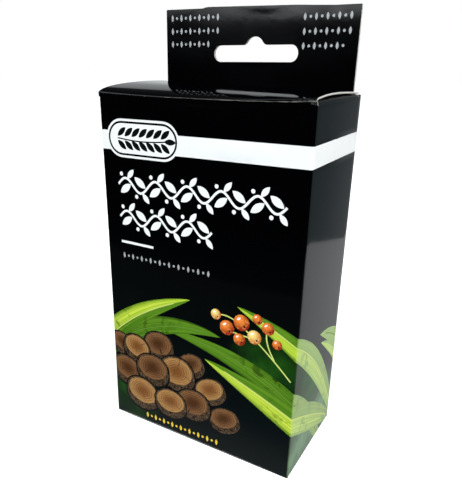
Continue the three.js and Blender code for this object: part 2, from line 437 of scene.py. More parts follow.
def cutBoard(name, outline, place, columns, rows, holes=(), marks=(), folds=(),
             faces=("blackPrint", "uncoatedBoard")):
    points = []
    loops = []

    def addLoop(loop):
        first = len(points)
        points.extend(Vector(p) for p in loop)
        loops.append(list(range(first, len(points))))

    addLoop(outline)
    for hole in holes:
        addLoop(hole)
    for mark in marks:
        addLoop(mark["shape"])
    edges = []
    us = [p[0] for p in outline]
    vs = [p[1] for p in outline]
    for axis, value in folds:
        inside = (min(vs), max(vs)) if axis == "u" else (min(us), max(us))
        ends = [(value, inside[0]), (value, inside[1])]
        if axis == "v":
            ends = [(inside[0], value), (inside[1], value)]
        edges.append((len(points), len(points) + 1))
        points.extend(Vector(p) for p in ends)
    for u in columns:
        for v in rows:
            points.append(Vector((u, v)))
    spots, _, tris, _, _, owners = geometry.delaunay_2d_cdt(points, edges, loops, 1, 1e-5)
    finishNames = [faces[0], faces[1], "cutEdge"]
    for mark in marks:
        if mark["ink"] not in finishNames:
            finishNames.append(mark["ink"])
    kept = []
    for tri, owner in zip(tris, owners):
        if 0 not in owner or any(1 <= k <= len(holes) for k in owner):
            continue
        top = max(owner)
        mark = marks[top - 1 - len(holes)] if top > len(holes) else None
        kept.append((tri, mark))
    rim = {}
    for tri, _ in kept:
        for a, b in zip(tri, (*tri[1:], tri[0])):
            if (b, a) in rim:
                del rim[(b, a)]
            else:
                rim[(a, b)] = True
    outward = {}
    for a, b in rim:
        side = spots[b] - spots[a]
        normal = Vector((side.y, -side.x)).normalized()
        for k in (a, b):
            outward[k] = outward.get(k, Vector((0, 0))) + normal
    onFold = set()
    for k in outward:
        outward[k].normalize()
        for axis, value in folds:
            if abs(spots[k][0 if axis == "u" else 1] - value) < 1e-4:
                onFold.add(k)
    verts = []
    index = {}

    def vertex(k, layer):
        if (k, layer) not in index:
            u, v = spots[k]
            share = layer / 4
            if k in outward and k not in onFold:
                swell = carton["swell"] * (4 * share * (1 - share) - 0.5)
                u += outward[k].x * swell
                v += outward[k].y * swell
            index[(k, layer)] = len(verts)
            verts.append(place(u, v, board * share))
        return index[(k, layer)]

    polygons = []
    slots = []
    local = []
    for tri, mark in kept:
        polygons.append([vertex(k, 0) for k in tri])
        polygons.append([vertex(k, 4) for k in reversed(tri)])
        slots.append(finishNames.index(mark["ink"]) if mark else 0)
        slots.append(1)
        for order in (tri, tuple(reversed(tri))):
            for k in order:
                local.append(localPlace(spots[k], mark))
    for a, b in rim:
        for layer in range(4):
            polygons.append(
                [vertex(b, layer), vertex(a, layer), vertex(a, layer + 1), vertex(b, layer + 1)]
            )
            slots.append(2)
            local.extend([(0.0, 0.0, 0.0)] * 4)
    mesh = bpy.data.meshes.new(name)
    mesh.from_pydata([tuple(c * mm for c in p) for p in verts], [], polygons)
    for finishName in finishNames:
        mesh.materials.append(finishes[finishName])
    mesh.polygons.foreach_set("material_index", slots)
    mesh.polygons.foreach_set("use_smooth", [True] * len(polygons))
    spot = mesh.attributes.new("motif", "FLOAT_VECTOR", "CORNER")
    spot.data.foreach_set("vector", [c for p in local for c in p])
    mesh.validate()
    mesh.set_sharp_from_angle(angle=math.radians(40))
    piece = bpy.data.objects.new(name, mesh)
    bpy.context.scene.collection.objects.link(piece)
    print("cut", name, len(mesh.polygons), "faces")
    return piece


def localPlace(spot, mark):
    if mark and mark["local"]:
        return mark["local"](spot[0], spot[1])
    return (0.0, 0.0, 0.0)


def rectangle(u0, v0, u1, v1):
    return [(u0, v0), (u1, v0), (u1, v1), (u0, v1)]


def arcPoints(cu, cv, radius, start, end, steps=8):
    turns = [math.radians(start + (end - start) * i / steps) for i in range(steps + 1)]
    return [(cu + radius * math.cos(t), cv + radius * math.sin(t)) for t in turns]


def bezier(points, steps):
    found = []
    for i in range(steps + 1):
        t = i / steps
        row = [Vector(p) for p in points]
        while len(row) > 1:
            row = [a.lerp(b, t) for a, b in zip(row, row[1:])]
        found.append(tuple(row[0]))
    return found


def offsetLine(points, amount):
    spots = [Vector(p) for p in points]
    found = []
    for i, spot in enumerate(spots):
        along = (spots[min(i + 1, len(spots) - 1)] - spots[max(i - 1, 0)]).normalized()
        found.append((spot.x - along.y * amount, spot.y + along.x * amount))
    return found


def folded(path, across):
    spots = [Vector(p) for p in path]
    along = [0.0]
    for a, b in zip(spots, spots[1:]):
        along.append(along[-1] + (b - a).length)
    acrossAxis = Vector(across)
    normals = []
    for i in range(len(spots)):
        tangent = spots[min(i + 1, len(spots) - 1)] - spots[max(i - 1, 0)]
        normals.append(acrossAxis.cross(tangent.normalized()))

    def place(u, v, depth):
        i = 0
        while i < len(along) - 2 and v > along[i + 1]:
            i += 1
        t = (v - along[i]) / (along[i + 1] - along[i])
        spot = spots[i].lerp(spots[i + 1], t)
        normal = normals[i].lerp(normals[i + 1], min(max(t, 0), 1)).normalized()
        return tuple(spot + acrossAxis * u - normal * depth)

    return place, along


# Every mark is an outline on the unrolled sleeve: u to the right from the middle of the front
# panel, v up from the floor. Later marks cover earlier ones.
def placed(points, u, v, turn=0.0):
    c = math.cos(math.radians(turn))
    w = math.sin(math.radians(turn))
    return [(u + a * c - b * w, v + a * w + b * c) for a, b in points]


def mark(ink, shape, local=None):
    return {"ink": ink, "shape": shape, "local": local}


def dot(ink, u, v, radius, steps):
    return mark(ink, arcPoints(u, v, radius, 0, 360, steps)[:-1])


def almond(ink, u, v, length, width, turn=0.0):
    side = [(length * (i / 8 - 0.5), width / 2 * math.sin(math.pi * i / 8) ** 0.8)
            for i in range(9)]
    shape = [(a, -b) for a, b in side] + [(a, b) for a, b in reversed(side[1:-1])]
    return mark(ink, placed(shape, u, v, turn))


def stroke(ink, line, width):
    upper = offsetLine(line, width / 2)
    lower = offsetLine(line, -width / 2)
    return mark(ink, lower + upper[::-1])


def grassBlade(spine, width, light, dark, seed):
    line = bezier(spine, 36)
    spots = [Vector(p) for p in line]

    def reach(i):
        share = i / (len(line) - 1)
        return width / 2 * (math.sin(math.pi * min(1.0, share * 0.93 + 0.07)) ** 0.75)

    upper = []
    lower = []
    for i, spot in enumerate(spots):
        along = (spots[min(i + 1, len(spots) - 1)] - spots[max(i - 1, 0)]).normalized()
        normal = Vector((-along.y, along.x))
        upper.append(tuple(spot + normal * reach(i)))
        lower.append(tuple(spot - normal * reach(i) * 0.8))

    def local(u, v):
        here = Vector((u, v))
        near = min(range(len(spots)), key=lambda k: (spots[k] - here).length_squared)
        a = spots[max(near - 1, 0)]
        b = spots[min(near + 1, len(spots) - 1)]
        along = (b - a).normalized()
        off = here - spots[near]
        across = (along.x * off.y - along.y * off.x) / max(reach(near), 0.05)
        share = (near + off.dot(along) / max((b - a).length / 2, 0.01)) / (len(spots) - 1)
        return (share, across, seed)

    rib = "ribInk" if light != dark else "deepRib"
    return [mark(light, line + upper[-2:0:-1], local), mark(dark, lower[:-1] + line[::-1], local),
            stroke(rib, line[1:-3], width * 0.04)]


def ellipsePoints(reachU, reachV, steps=40):
    turns = [2 * math.pi * i / steps for i in range(steps)]
    return [(reachU * math.cos(a), reachV * math.sin(a)) for a in turns]


def woodSlice(u, v, radius, flat, turn, thick, ink, seed):
    face = placed(ellipsePoints(radius, radius * flat), u, v, turn)
    shade = placed(ellipsePoints(radius * 0.9, radius * flat * 0.9), u, v, turn)
    c = math.cos(math.radians(turn))
    w = math.sin(math.radians(turn))
    under = [(a + w * thick, b - c * thick) for a, b in face]
    hull = geometry.convex_hull_2d(face + under)
    spots = face + under
    side = [spots[k] for k in hull]
    if sum(a[0] * b[1] - b[0] * a[1] for a, b in zip(side, side[1:] + side[:1])) < 0:
        side.reverse()

    def local(a, b):
        x = ((a - u) * c + (b - v) * w) / radius
        y = (-(a - u) * w + (b - v) * c) / (radius * flat)
        return (x, y, seed)

    middle = (sum(p[0] for p in side) / len(side), sum(p[1] for p in side) / len(side))
    shadow = [(middle[0] + (a - middle[0]) * 1.07, middle[1] + (b - middle[1]) * 1.1 - 0.2)
              for a, b in side]
    return [mark("blackInk", shadow), mark("bark", side), mark(ink, shade, local)]


def berry(u, v, radius, ink):
    ring = arcPoints(u, v, radius, 0, 360, 32)[:-1]

    def local(a, b):
        return ((a - u) / radius, (b - v) / radius, 0.0)

    shine = almond("whiteInk", u - radius * 0.35, v + radius * 0.42, radius * 0.62, radius * 0.3,
                   35)
    eye = dot("blackInk", u + radius * 0.35, v - radius * 0.4, radius * 0.14, 12)
    return [mark(ink, ring, local), shine, eye]


def vineRow(ink, u0, u1, v, lift, period):
    count = round((u1 - u0) / period)
    step = (u1 - u0) / count
    line = [(u0 + (u1 - u0) * i / (count * 16),
             v + lift * math.sin(2 * math.pi * i / 16)) for i in range(count * 16 + 1)]
    found = [stroke(ink, line, 0.8)]
    for k in range(count):
        for part, sign in ((0.25, 1), (0.75, -1)):
            at = u0 + step * (k + part)
            found.append(almond(ink, at - 0.1, v - sign * lift * 0.55, 5.6, 2.5, 36 * sign))
            found.append(almond(ink, at + 2.2, v + sign * (lift + 1.5), 4.2, 1.9, 50 * sign))
            found.append(dot(ink, at - 1.7, v + sign * (lift + 1.3), 0.7, 14))
    return found


def seedRow(ink, u0, v, size, count, gap):
    found = []
    for k in range(count):
        u = u0 + k * gap
        if k % 2:
            found.append(dot(ink, u, v, size * 0.2, 12))
        else:
            found.append(almond(ink, u, v, size, size * 0.42, 90))
    return found


def plaque(u, v, wide, high):
    r = high / 2
    rim = high * 0.06
    found = []
    for ink, cut in (("whiteInk", 0), ("blackInk", rim), ("whiteInk", rim * 1.9)):
        shape = arcPoints(u + wide / 2 - r, v, r - cut, -90, 90, 16)
        shape += arcPoints(u - wide / 2 + r, v, r - cut, 90, 270, 16)
        found.append(mark(ink, shape))
    reach = wide * 0.34
    stem = [(u + reach * (k / 12 - 1), v - high * 0.05 * math.sin(math.pi * k / 24))
            for k in range(25)]
    found.append(stroke("blackInk", stem, high * 0.035))
    for k in range(7):
        at = u + reach * (k / 3.4 - 0.98)
        for sign in (1, -1):
            found.append(almond("blackInk", at + high * 0.12, v + sign * high * 0.17,
                                high * 0.36, high * 0.15, 40 * sign))
    found.append(almond("blackInk", u + reach * 1.12, v, high * 0.36, high * 0.15, 0))
    return found


drawing = {
    "band": (-180, 106.0, 120, 112.3),
    "plaque": (-20.5, 110.0, 29.0, 12.5),  # middle, width and height
    "vines": [(-31, 31, 94.6), (-31, 6.2, 83.2)],  # from, to, height
    "sway": (2.3, 12.4),  # how far a vine sways, and how long each sway is
    "bar": (-31, 73.6, -17, 74.5),
    "seeds": [  # ink, first seed, its height, size, number, spacing
        ("greyInk", -30, 69.0, 2.2, 19, 1.95),
        ("yellowInk", -22.0, 3.6, 2.5, 17, 1.95),
    ],
    "tabSeeds": [
        ("greyInk", -34.6, 148.3, 2.3, 11, 1.9),
        ("greyInk", -34.6, 143.9, 2.3, 11, 1.9),
        ("greyInk", -34.6, 139.5, 2.3, 9, 1.9),
        ("greyInk", 16.8, 147.3, 2.3, 9, 1.9),
        ("greyInk", 16.8, 142.9, 2.3, 9, 1.9),
        ("greyInk", 16.8, 138.5, 2.3, 8, 1.9),
    ],
    "blades": [  # spine, width, ink of the upper half, ink of the lower half
        ([(70, -8), (52, 26), (24, 44), (-12, 44)], 9.0, "deepBlade", "deepBlade"),
        ([(-58, 6), (-40, 36), (-16, 50), (10, 47)], 9.5, "deepBlade", "deepBlade"),
        ([(100, -8), (98, 20), (84, 38), (58, 46)], 11.0, "deepBlade", "deepBlade"),
        ([(-100, -8), (-92, 20), (-78, 38), (-56, 46)], 11.0, "deepBlade", "deepBlade"),
        ([(76, 2), (58, 14), (36, 27), (4, 37)], 12.5, "limeBlade", "deepBlade"),
        ([(82, 0), (62, 34), (46, 50), (16, 60)], 10.5, "limeBlade", "deepBlade"),
        ([(-62, -2), (-46, 32), (-30, 47), (-2, 58)], 10.5, "limeBlade", "deepBlade"),
        ([(104, -8), (96, 14), (84, 30), (60, 42)], 8.5, "limeBlade", "deepBlade"),
        ([(-104, -8), (-94, 14), (-84, 30), (-58, 42)], 8.5, "limeBlade", "deepBlade"),
        ([(-110, -6), (-114, 18), (-124, 30), (-146, 38)], 9.5, "limeBlade", "deepBlade"),
    ],
    "slices": [  # u, v, radius, flatness, turn, thickness, ink, seed
        (-2, 33, 5.6, 0.72, 24, 1.7, "umberSlice", 0.4),
        (-33, 33, 5.4, 0.7, -24, 1.7, "umberSlice", 1.1),
        (-16, 37, 6.6, 0.74, 10, 1.9, "umberSlice", 1.3),
        (-26, 33, 6.2, 0.78, -12, 1.9, "goldSlice", 2.1),
        (6, 25, 6.4, 0.7, 26, 1.8, "goldSlice", 2.9),
        (-8, 28, 7.6, 0.8, 8, 2.1, "goldSlice", 3.7),
        (-31, 22, 7.2, 0.74, -14, 2.1, "umberSlice", 4.2),
        (-19, 26, 7.4, 0.76, 4, 2.2, "umberSlice", 4.8),
        (12, 15, 6.2, 0.7, 22, 1.8, "umberSlice", 5.5),
        (-1, 17, 7.2, 0.76, 12, 2.1, "umberSlice", 6.1),
        (-24, 14, 7.6, 0.78, -6, 2.3, "goldSlice", 6.4),
        (-11, 14, 7.0, 0.74, 6, 2.1, "goldSlice", 7.0),
    ],
    "berries": [
        (12.5, 51.5, 2.7, "berry"), (17.8, 54.6, 2.9, "berry"), (22.6, 50.6, 2.5, "goldBerry"),
        (17.2, 48.4, 2.2, "berry"), (27.2, 54.8, 2.2, "berry"), (8.2, 55.4, 1.9, "goldBerry"),
        (30.6, 50.0, 1.7, "berry"), (23.4, 57.2, 1.8, "berry"),
    ],
    "stems": [
        [(36, 38), (29, 45), (23, 50), (17, 54)], [(30, 44), (26, 50), (27, 54)],
        [(22, 50), (16, 50), (12, 51)], [(17, 54), (12, 57), (8, 55)],
    ],
}


def sleeveMarks():
    found = []
    for seed, blade in enumerate(drawing["blades"]):
        found += grassBlade(*blade, seed * 0.37)
    for args in drawing["slices"]:
        found += woodSlice(*args)
    for line in drawing["stems"]:
        found.append(stroke("ribInk", bezier(line, 12), 0.5))
    for args in drawing["berries"]:
        found += berry(*args)
    found.append(mark("whiteInk", rectangle(*drawing["band"])))
    found += plaque(*drawing["plaque"])
    for line in drawing["vines"]:
        found += vineRow("whiteInk", *line, *drawing["sway"])
    found.append(mark("whiteInk", rectangle(*drawing["bar"])))
    for args in drawing["seeds"]:
        found += seedRow(*args)
    return found


def within(marks, u0, u1, shift):
    found = []
    for m in marks:
        us = [p[0] for p in m["shape"]]
        if max(us) < u0 or min(us) > u1:
            continue
        moved = dict(m, shape=[(a - shift, b) for a, b in m["shape"]])
        if m["local"]:
            moved["local"] = lambda a, b, inner=m["local"]: inner(a + shift, b)
        found.append(moved)
    return found


bow = {
    "front": 0.55,
    "side": 0.1,
    "tab": 0.25,
    "tabMiddle": -1.1,
    "tabReach": 36.4,
}


def swellOf(amount, u, reach, v, low, high):
    if abs(u) >= reach or v <= low or v >= high:
        return 0.0
    rise = math.sin(math.pi * (v - low) / (high - low)) ** 0.6
    return amount * (1 - (u / reach) ** 2) * rise


def settled(x, y, z):
    share = (back - y) / (back - front)
    level = min(1.0, max(0.0, z / height))
    forward = carton["splay"] * (1 - level) ** 2 * math.sqrt(max(0.0, (x + half) / (2 * half)))
    bowed = carton["slack"] * math.sin(math.pi * level) * max(0.0, -x)
    inward = carton["pinch"] * max(0.0, x)
    return (x + share * (bowed - inward) / half, y - share * forward, z)


def frontPlace(u, v, depth):
    if abs(u) <= straight:
        out = swellOf(bow["front"], u, straight, v, 0, height)
        return settled(u, front - out + depth, v)
    turn = (abs(u) - straight) / corner
    x = straight + (corner - depth) * math.sin(turn)
    return settled(math.copysign(x, u), front + corner - (corner - depth) * math.cos(turn), v)


def sidePlace(side, rear):
    rearArc = rear - corner
    frontArc = front + corner

    def place(u, v, depth):
        y = side * u
        for arc, way in ((frontArc, -1), (rearArc, 1)):
            if way * (y - arc) > 0:
                turn = way * (y - arc) / corner
                x = straight + (corner - depth) * math.cos(turn)
                return settled(side * x, arc + way * (corner - depth) * math.sin(turn), v)
        middle = (frontArc + rearArc) / 2
        out = swellOf(bow["side"], y - middle, rearArc - middle, v, 0, height)
        return settled(side * (half + out - depth), y, v)

    return place


def foldColumns(start, end):
    return spaced(start, end, abs(end - start) / carton["foldSteps"])


topEdge = height - carton["topFold"]
footEdge = carton["footFold"]
flapReach = half - board - gap


def notchedOutline(u0, u1, top0, top1, foot0, foot1, shoulder=0.0):
    toe = carton["toe"]
    points = [(u0, toe), (foot0, 0.0), (foot0, footEdge), (foot1, footEdge), (foot1, 0.0)]
    points.append((u1, toe))
    if top1 < u1:
        turn = [(u1, height - shoulder), (u1 - shoulder / 4, height - shoulder / 6), (top1, height)]
        points += bezier(turn, 6)
    points += [(min(top1, u1), topEdge), (max(top0, u0), topEdge)]
    if top0 > u0:
        points += [(top0, height), (u0, height)]
    return points


frontEnd = straight + quarter
printed = sleeveMarks()
cornerColumns = foldColumns(straight, frontEnd)
frontColumns = spaced(-straight, straight, grid)
panelRows = spaced(0, height, grid)
panelFolds = [("v", topEdge), ("v", footEdge)]
frontPiece = cutBoard(
    "frontWall",
    notchedOutline(-frontEnd, frontEnd, -half, straight, -straight, straight),
    frontPlace,
    [-c for c in cornerColumns] + frontColumns + cornerColumns,
    panelRows,
    marks=within(printed, -frontEnd, frontEnd, 0.0),
    folds=[("u", c) for c in cornerColumns] + [("u", -c) for c in cornerColumns] + panelFolds,
)


def sideWall(name, side, rear):
    rearArc = rear - corner
    frontArc = front + corner
    start = frontArc - quarter
    end = rearArc + 2 * quarter
    notch = front + carton["sideNotch"] if side > 0 else start
    outline = notchedOutline(start, end, notch, front + carton["sideStand"], frontArc, rearArc,
                             carton["shoulder"])
    frontFold = foldColumns(start, frontArc)
    rearFold = foldColumns(rearArc, end)
    folds = [("u", c) for c in frontFold + rearFold] + panelFolds
    columns = frontFold + spaced(frontArc, rearArc, grid) + rearFold
    shift = frontEnd - start
    marks = within(printed, frontEnd, end + shift, shift)
    if side < 0:
        outline = mirrored(outline)
        folds = [(axis, -c if axis == "u" else c) for axis, c in folds]
        columns = [-c for c in columns]
        marks = within(printed, -end - shift, -frontEnd, -shift)
    return cutBoard(name, outline, sidePlace(side, rear), columns, panelRows, marks=marks,
                    folds=folds)


leftPiece = sideWall("leftWall", -1, back)
rightPiece = sideWall("rightWall", 1, innerFace)

tab = {
    "height": 27.0,
    "left": -37.25,
    "right": 35.0,
    "grid": 2.0,
    "rows": (4.0, 1.5),  # spacing below the top crease and above it
    "plyShort": 1.5,  # from the outer ply's free edge to the right side
    "printFrom": 1.5,  # how far below the top crease the inner ply's print begins
    # upper edge of each ply, from right to left
    "innerEdge": [(35.0, 150.15), (34.7, 150.35), (27.0, 150.34), (20.0, 150.63), (14.0, 150.95),
                  (-12.0, 151.5), (-19.4, 151.65), (-20.6, 151.55), (-21.8, 151.25),
                  (-36.95, 151.35), (-37.25, 151.05)],
    "outerEdge": [(35.0, 149.9), (34.7, 150.1), (14.0, 150.75), (-12.0, 151.2), (-36.95, 151.15),
                  (-37.25, 150.85)],
}
slot = {
    "width": 31.9,
    "height": 5.5,
    "shift": 0.3,
    "end": 2.6,
    "aboveBox": 9.5,
    "hump": 3.4,
    "humpRise": 4.8,
    "fillet": 2.0,
}


def hangSlot():
    x = (tab["left"] + tab["right"]) / 2 + slot["shift"]
    low = height + slot["aboveBox"]
    high = low + slot["height"]
    reach = slot["width"] / 2
    end = slot["end"]
    humpZ = low + slot["humpRise"]
    filletZ = high + slot["fillet"]
    wide = slot["hump"] + slot["fillet"]
    filletX = math.sqrt(wide ** 2 - (filletZ - humpZ) ** 2)
    turn = math.degrees(math.atan2(filletZ - humpZ, filletX))
    points = arcPoints(x + reach - end, low + end, end, -90, 0)
    points += arcPoints(x + reach - end, high - end, end, 0, 90)
    points += arcPoints(x + filletX, filletZ, slot["fillet"], 270, 180 + turn)
    points += arcPoints(x, humpZ, slot["hump"], turn, 180 - turn, 20)[1:-1]
    points += arcPoints(x - filletX, filletZ, slot["fillet"], -turn, -90)
    points += arcPoints(x - reach + end, high - end, end, 90, 180)
    return points + arcPoints(x - reach + end, low + end, end, 180, 270)


def plyOutline(left, right, edge):
    shoulder = height - carton["shoulder"] * 0.8
    points = [(left, 0), (right, 0)]
    points += bezier([(right, shoulder), (right - 0.2, height - 0.15), (tab["right"], height)], 5)
    return points + edge + [(tab["left"], height), (left, height)]


tabTop = height + tab["height"]


def tabBow(u, v):
    return swellOf(bow["tab"], u - bow["tabMiddle"], bow["tabReach"], v, height,
                   2 * tabTop - height)


def innerPlyPlace(u, v, depth):
    return (u, innerFace - board + depth + tabBow(u, v), v)


def outerPlyPlace(u, v, depth):
    return (-u, back - depth + tabBow(-u, v), v)


tabMarks = [mark("blackPrint", rectangle(-40, height - tab["printFrom"], 40, tabTop + 2))]
for args in drawing["tabSeeds"]:
    tabMarks += seedRow(*args)
below, above = tab["rows"]
plyRows = spaced(0, height, below) + spaced(height, tabTop - above, above)
plyColumns = spaced(-straight, straight, tab["grid"])
innerPly = cutBoard(
    "innerBackPly",
    plyOutline(-straight + gap, straight, tab["innerEdge"]),
    innerPlyPlace,
    plyColumns,
    plyRows,
    holes=[hangSlot()],
    marks=tabMarks,
    faces=("uncoatedBoard", "uncoatedBoard"),
    folds=[("u", straight)],
)
leftSpan = (back - corner) - (front + corner) + 3 * quarter
backShift = -frontEnd - leftSpan - straight
outerPly = cutBoard(
    "outerBackPly",
    mirrored(plyOutline(-straight, half - tab["plyShort"], tab["outerEdge"])),
    outerPlyPlace,
    plyColumns,
    plyRows,
    holes=[mirrored(hangSlot())],
    marks=within(printed, backShift - half, backShift + half, backShift),
    folds=[("u", straight)],
)
print("sleeve and tab made")

lid = {
    # the board's middle line in three places, back from the front face and up from the top
    # crease: it has sprung up, most of all at the left
    "right": ((0.4, 0.6), (8.0, 1.62), (21.0, 1.62), (39.1, 0.35)),
    "middle": ((0.05, -0.78), (2.02, 0.96), (21.5, 3.56), (39.1, 0.0)),
    "left": ((0.05, -0.05), (2.1, 2.19), (20.7, 3.16), (39.1, 2.47)),
    "turn": 0.3,  # how far from the crease's corner the board begins and ends its bend
    "past": -37.55,  # the sprung end stands past the corner under it
    "inset": 0.15,
    "taper": (4.0, 0.5),  # how far along and how deep the rear right corner is cut
    "steps": 40,
}
tuck = {
    "length": 14.0,
    "inset": 2.5,
    "radius": 39.6,  # of its curve about the lid's crease
    "crease": -0.15,
    "spring": 0.3,
    "ease": 1.1,  # extra lean that keeps the tip off the back panel
    "corner": 5.0,
    "step": 0.7,
    "turn": 0.45,
    "rest": 0.35,  # how far up the lid's rear edge is where the flap hangs unmoved
}
lidReach = half - lid["inset"]


def joint(path, start, direction, reach):
    first = Vector(path[0])
    along = (Vector(path[1]) - first).normalized()
    begin = Vector(start)
    bend = [begin, begin + Vector(direction) * reach, first - along * reach * 0.7, first]
    return bezier(bend, carton["foldSteps"])[:-1] + path


def creaseUp(path):
    turn = lid["turn"]
    first = Vector(path[0])
    along = (Vector(path[1]) - first).normalized()
    peak = first + along * ((front - first.x) / along.x)
    before = peak - Vector((0, turn))
    after = peak + along * turn
    bend = bezier([before, peak, peak, after], carton["foldSteps"])
    return [(front, topEdge)] + bend + [spot for spot in path if spot[0] > after.x + 0.05]


def lidLine(points):
    line = bezier([(front + a, height + b) for a, b in points], lid["steps"])
    return offsetLine(line, board / 2)


def acrossLid(paths, breaks):
    profiles = [folded([(0, y, z) for y, z in path], (1, 0, 0)) for path in paths]
    lead = profiles[0][1]

    def rowOn(rows, v):
        for a, b in zip(breaks, breaks[1:]):
            if v <= lead[b] or b == -1:
                return rows[a] + (v - lead[a]) * (rows[b] - rows[a]) / (lead[b] - lead[a])

    def place(u, v, depth):
        share = (lidReach - max(-lidReach, min(lidReach, u))) / (2 * lidReach)
        shares = (2 * (share - 0.5) * (share - 1), 4 * share * (1 - share),
                  2 * share * (share - 0.5))
        spot = Vector((0, 0, 0))
        for (profile, rows), part in zip(profiles, shares):
            spot += part * Vector(profile(u, rowOn(rows, v), depth))
        return settled(*spot)

    return place, lead


lidCurves = [lid[where] for where in ("right", "middle", "left")]
lidTops = [lidLine(curve) for curve in lidCurves]
lidPlace, lidRows = acrossLid([creaseUp(top) for top in lidTops],
                              (0, 1, carton["foldSteps"] + 1, -1))
lidEnd = lidRows[-1]
taperLength, taperDepth = lid["taper"]
lidPiece = cutBoard(
    "lidBoard",
    [(lid["past"], 0), (straight + 0.1, 0), (straight + 0.2, 1.0), (lidReach, 2.4),
     (lidReach, lidEnd - taperLength), (lidReach - taperDepth, lidEnd), (lid["past"], lidEnd)],
    lidPlace,
    spaced(lid["past"], lidReach, grid),
    lidRows,
    folds=[("v", 0.0), ("v", lidEnd)],
)

lean = tuck["ease"] * (0.5 + tuck["spring"] + tuck["spring"] ** 2 / 2) / tuck["radius"]
tuckCentre = [
    (front + tuck["radius"] - lean * s * s, height + tuck["crease"] - s)
    for s in spaced(tuck["step"], tuck["length"], tuck["step"])
]
tuckFace = offsetLine(tuckCentre, board / 2)


def tuckPathFrom(top, lift):
    slope = (Vector(top[-1]) - Vector(top[-2])).normalized()
    face = [(y, z + lift * (1 - k / len(tuckFace)) ** 2) for k, (y, z) in enumerate(tuckFace)]
    return joint(face, top[-1], tuple(slope), tuck["turn"])


tuckPaths = [tuckPathFrom(top, curve[-1][1] - tuck["rest"])
             for top, curve in zip(lidTops, lidCurves)]
tuckPlace, tuckRows = acrossLid(tuckPaths, (0, carton["foldSteps"], -1))
tuckReach = half - tuck["inset"]
turn = tuck["corner"]
tip = tuckRows[-1] - turn
tuckOutline = [(-tuckReach, 0), (tuckReach, 0)]
tuckOutline += arcPoints(tuckReach - turn, tip, turn, 0, 90)
tuckOutline += arcPoints(-tuckReach + turn, tip, turn, 90, 180)
tuckPiece = cutBoard("tuckFlap", tuckOutline, tuckPlace, spaced(-tuckReach, tuckReach, grid),
                     tuckRows, folds=[("v", 0.0)])

dust = {
    "length": 26.0,
    "crease": -0.25,
    "start": 0.6,
    "back": 38.0,
    "backAtEnd": 32.0,
    "squareTo": 9.0,
    "slope": 1.6,  # length gained for each step back from the root
    "eased": 1.3,  # from the crease to where the flap has sprung up fully
    "spring": 0.5,
}


def foldPath(wall, level, far, rise):
    sign = math.copysign(1, far - wall)
    pull = carton["turnPull"]
    turn = [(wall, level + rise), (wall, level + math.copysign(pull, rise)),
            (wall + sign * pull, level), (wall + sign * carton["turnReach"], level)]
    return bezier(turn, carton["foldSteps"] + 2) + [(far, level)]


def flapRows(rows):
    return rows[:-1] + spaced(rows[-2], rows[-1], grid)[1:]


def topDust(side):
    level = height + dust["crease"]
    path = foldPath(half, level, half - dust["length"], topEdge - level)
    flat, rows = folded([(side * x, 0, z) for x, z in path], (0, side, 0))
    end = rows[-1]

    def place(u, v, depth):
        x, y, z = flat(u, v, depth)
        share = min(max((side * u - front - dust["start"]) / (dust["back"] - dust["start"]), 0), 1)
        ease = min(1.0, max(0.0, v / dust["eased"])) * max(0.0, 1 - (v / end) ** 2)
        return settled(x, y, z + dust["spring"] * math.sin(math.pi * share) ** 0.6 * ease)

    def rowAt(fromHinge):
        return end - (dust["length"] - fromHinge)

    slopeEnd = dust["start"] + (dust["length"] - 1.0) / dust["slope"]
    outline = [(front + dust["start"], 0), (front + dust["back"], 0),
               (front + dust["back"], rowAt(dust["squareTo"])),
               (front + dust["backAtEnd"], end), (front + slopeEnd, end),
               (front + dust["start"], rowAt(1.0))]
    if side < 0:
        outline = mirrored(outline)
    us = [p[0] for p in outline]
    return cutBoard("leftTopDust" if side < 0 else "rightTopDust", outline, place,
                    spaced(min(us), max(us), grid), flapRows(rows), folds=[("v", 0.0)])


leftDust = topDust(-1)
rightDust = topDust(1)

bottom = {
    "dustLength": 30.0,
    "dustChamfer": 6.0,
    "dustGap": 0.5,
    "outerShort": 0.75,
    "innerShort": 3.5,
    "rise": 1.1,  # how far above its own level an inner flap leaves the wall
}
backWall = innerFace - board


def bottomFlap(wall, far, level, rise, across):
    path = foldPath(wall, level, far, rise)
    spots = [(0, a, z) if across[0] else (a, 0, z) for a, z in path]
    place, rows = folded(spots, across)
    return lambda u, v, depth: settled(*place(u, v, depth)), rows


outerReach = straight - gap
place, rows = bottomFlap(front, backWall - bottom["outerShort"], 0.0, footEdge, (-1, 0, 0))
outerFlap = cutBoard("bottomOuterFlap", rectangle(-outerReach, 0, outerReach, rows[-1]), place,
                     spaced(-outerReach, outerReach, grid), flapRows(rows), folds=[("v", 0.0)])
place, rows = bottomFlap(backWall, front + board + bottom["innerShort"], board, bottom["rise"],
                         (1, 0, 0))
innerFlap = cutBoard("bottomInnerFlap", rectangle(-flapReach, 0, flapReach, rows[-1]), place,
                     spaced(-flapReach, flapReach, grid), flapRows(rows),
                     faces=("uncoatedBoard", "uncoatedBoard"))


def bottomDust(side):
    place, rows = bottomFlap(side * (half - board), side * (half - bottom["dustLength"]),
                             2 * board, bottom["rise"], (0, -side, 0))
    end = rows[-1]
    y0 = front + board + bottom["dustGap"]
    y1 = backWall - bottom["dustGap"]
    cut = bottom["dustChamfer"]
    outline = [(y0, 0), (y1, 0), (y1, end - cut), (y1 - cut, end), (y0 + cut, end), (y0, end - cut)]
    outline = [(-side * u, v) for u, v in outline]
    if side > 0:
        outline.reverse()
    us = [p[0] for p in outline]
    return cutBoard("leftBottomDust" if side < 0 else "rightBottomDust", outline, place,
                    spaced(min(us), max(us), grid), flapRows(rows),
                    faces=("uncoatedBoard", "uncoatedBoard"))


leftFoot = bottomDust(-1)
rightFoot = bottomDust(1)
print("lid and flaps made")

